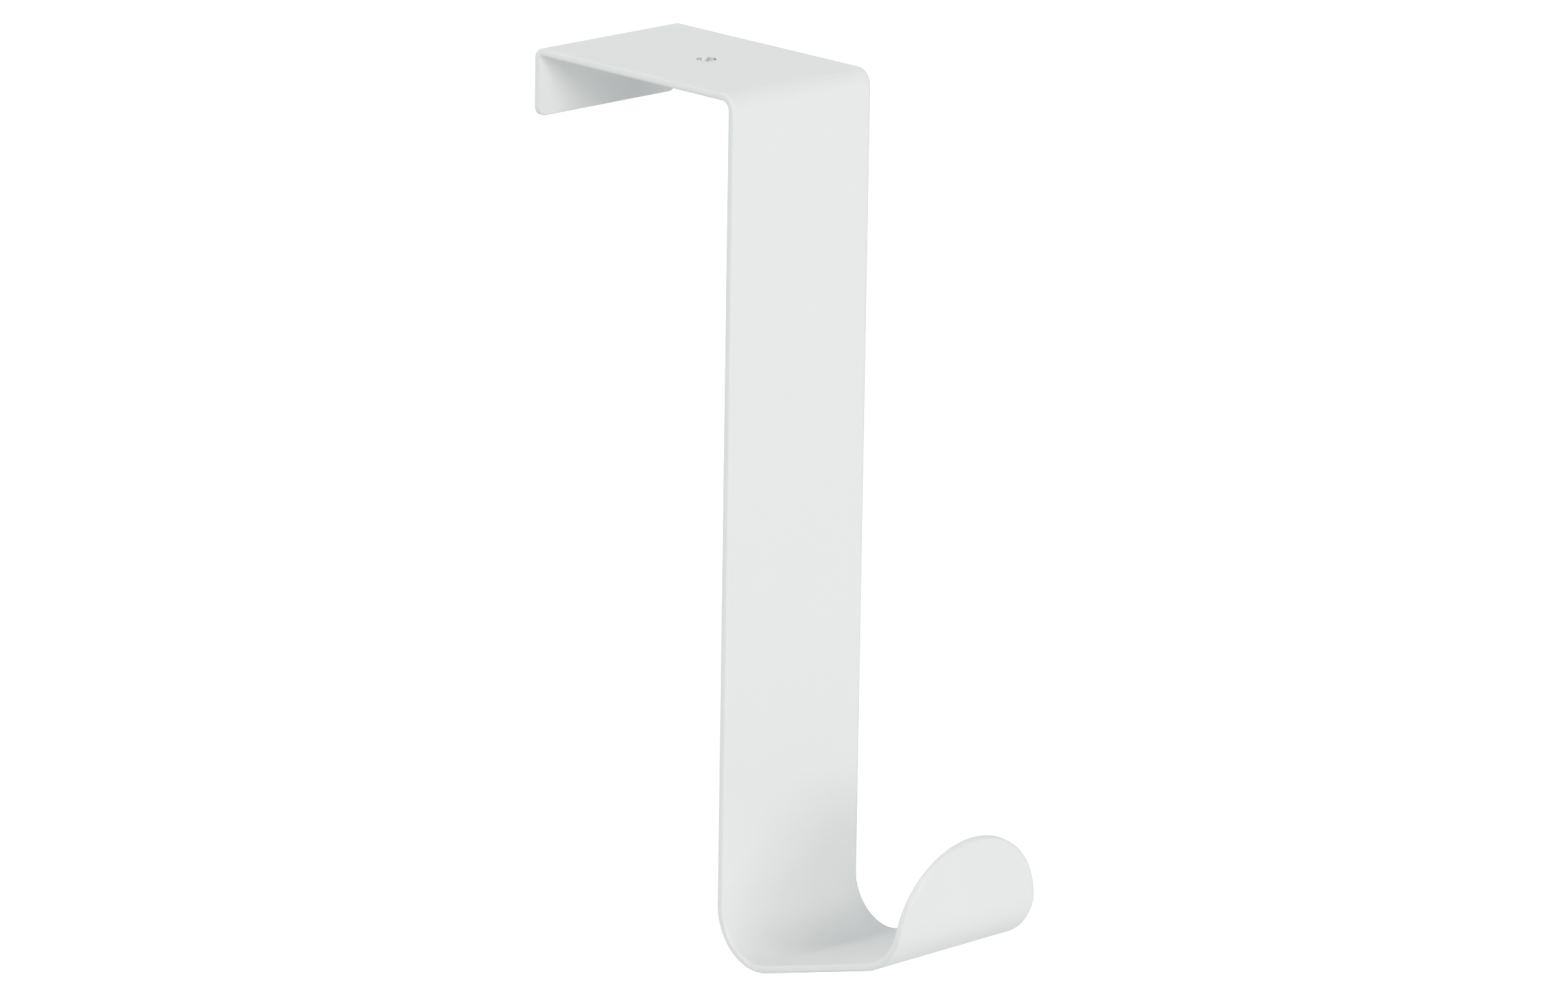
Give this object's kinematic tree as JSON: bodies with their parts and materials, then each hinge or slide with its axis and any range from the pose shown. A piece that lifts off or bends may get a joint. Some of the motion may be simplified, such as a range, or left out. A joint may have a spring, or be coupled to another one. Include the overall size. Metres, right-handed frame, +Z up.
{
  "type": "over-door hook",
  "caption": "Over-door hook folded from a steel strip: short back lip, flat top plate with a screw hole, long flat shaft and an upturned hook with a fully rounded tongue.",
  "frame": {"origin": "middle of the top plate's underside, half way across the strip and half way across the door slot, where the hook rests on the door's top edge", "axes": "+Z up, -Y into the room towards the hook, +Y over the door towards the back lip, X across the strip"},
  "size_m": [0.03, 0.088, 0.1415],
  "materials": {
    "white_powder_coat": "satin white powder coat on sheet steel"
  },
  "bodies": {
    "root": {"hook_strip": "white_powder_coat"}
  },
  "joints": []
}
